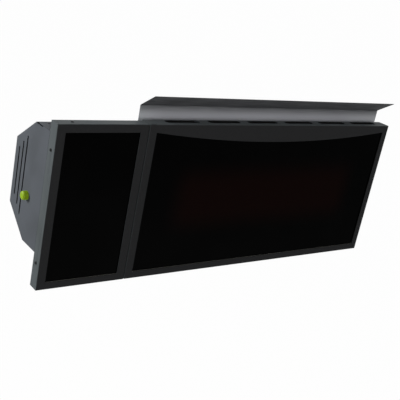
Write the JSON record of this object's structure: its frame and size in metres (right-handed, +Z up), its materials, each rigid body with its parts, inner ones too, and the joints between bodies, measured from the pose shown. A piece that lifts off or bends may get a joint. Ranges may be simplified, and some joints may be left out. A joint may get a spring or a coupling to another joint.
{
  "type": "radiant heater",
  "caption": "Wall-hung gas radiant heater with a black glass front, a side control box, a heat deflector on top and a tilting wall bracket.",
  "frame": {"origin": "middle of the four wall holes, on the back face of the wall plate", "axes": "+X along the heater from the control box to the burner end, +Y into the wall, +Z up; the glass front faces -Y"},
  "size_m": [1.0141, 0.265, 0.4334],
  "materials": {
    "anthracite_coat": "powder-coated steel, fine texture",
    "front_coat": "powder-coated steel, satin black",
    "black_glass": "tinted glass-ceramic, polished",
    "satin_stainless": "satin stainless sheet",
    "bright_reflector": "bright rolled sheet",
    "zinc_steel": "zinc-plated steel",
    "dark_fastener": "blackened steel",
    "burner_ceramic": "porous cordierite ceramic",
    "fibre_seal": "ceramic fibre",
    "cast_aluminium": "die-cast, as cast",
    "brass": "machined brass",
    "cap_plastic": "moulded polyethylene",
    "black_plastic": "moulded polyamide",
    "board_laminate": "lacquered circuit board",
    "silicone": "silicone rubber",
    "black_rubber": "moulded rubber",
    "alumina": "glazed alumina"
  },
  "bodies": {
    "bracket": {"wall_bracket": "anthracite_coat", "pivot_bolts": "zinc_steel", "pivot_washers": "zinc_steel", "pivot_nuts": "zinc_steel"},
    "heater": {"board_strap": "zinc_steel", "burner_casing": "anthracite_coat", "burner_face_plate": "satin_stainless", "burner_frame": "front_coat", "burner_glass": "black_glass", "burner_glass_gaskets": "fibre_seal", "burner_left_panel": "anthracite_coat", "burner_plenum": "zinc_steel", "burner_right_panel": "anthracite_coat", "burner_tray": "anthracite_coat", "cable_gland": "black_plastic", "casing_rivets": "dark_fastener", "ceramic_tiles": "burner_ceramic", "control_casing": "anthracite_coat", "control_frame": "front_coat", "control_glass": "black_glass", "control_glass_gaskets": "fibre_seal", "control_left_panel": "anthracite_coat", "control_partition": "anthracite_coat", "control_tray": "anthracite_coat", "deflector": "satin_stainless", "deflector_screws": "zinc_steel", "electrode_leads": "silicone", "feed_pipe": "zinc_steel", "flame_electrode": "alumina", "frame_screws": "dark_fastener", "gas_inlet_fitting": "brass", "gas_valve_body": "cast_aluminium", "hanger_bolts": "zinc_steel", "hangers": "anthracite_coat", "ignition_controller": "black_plastic", "ignition_electrode": "alumina", "injector": "brass", "injector_holder": "zinc_steel", "inlet_pipe": "zinc_steel", "joining_bolts": "zinc_steel", "joining_spacers": "zinc_steel", "lead_grommet": "black_rubber", "lower_reflector": "bright_reflector", "mixing_tube": "zinc_steel", "plenum_struts": "zinc_steel", "radiant_mesh": "satin_stainless", "rear_heat_shield": "zinc_steel", "receiver_board": "board_laminate", "reflector_ends": "bright_reflector", "terminal_block": "black_plastic", "tile_seal": "fibre_seal", "union_nuts": "brass", "upper_reflector": "bright_reflector", "valve_bracket": "zinc_steel", "valve_coils": "black_plastic", "valve_core_tubes": "satin_stainless"},
    "inlet_cap": {"gas_inlet_cap": "cap_plastic"},
    "first_plunger": {"first_valve_plunger": "zinc_steel"},
    "second_plunger": {"second_valve_plunger": "zinc_steel"}
  },
  "joints": [
    {"name": "tilt", "type": "hinge", "parent": "bracket", "child": "heater", "pos_m": [0, -0.05, 0], "axis": [1, 0, 0], "range_deg": [0, 45]},
    {"name": "cap_pull", "type": "slide", "parent": "heater", "child": "inlet_cap", "axis": [-1, 0, 0], "range_m": [0, 0.03]},
    {"name": "first_plunger_lift", "type": "slide", "parent": "heater", "child": "first_plunger", "axis": [0, 0, 1], "range_m": [0, 0.003], "stiffness_N_per_m": 200, "springref_m": -0.004},
    {"name": "second_plunger_lift", "type": "slide", "parent": "heater", "child": "second_plunger", "axis": [0, 0, 1], "range_m": [0, 0.003], "stiffness_N_per_m": 200, "springref_m": -0.004}
  ]
}
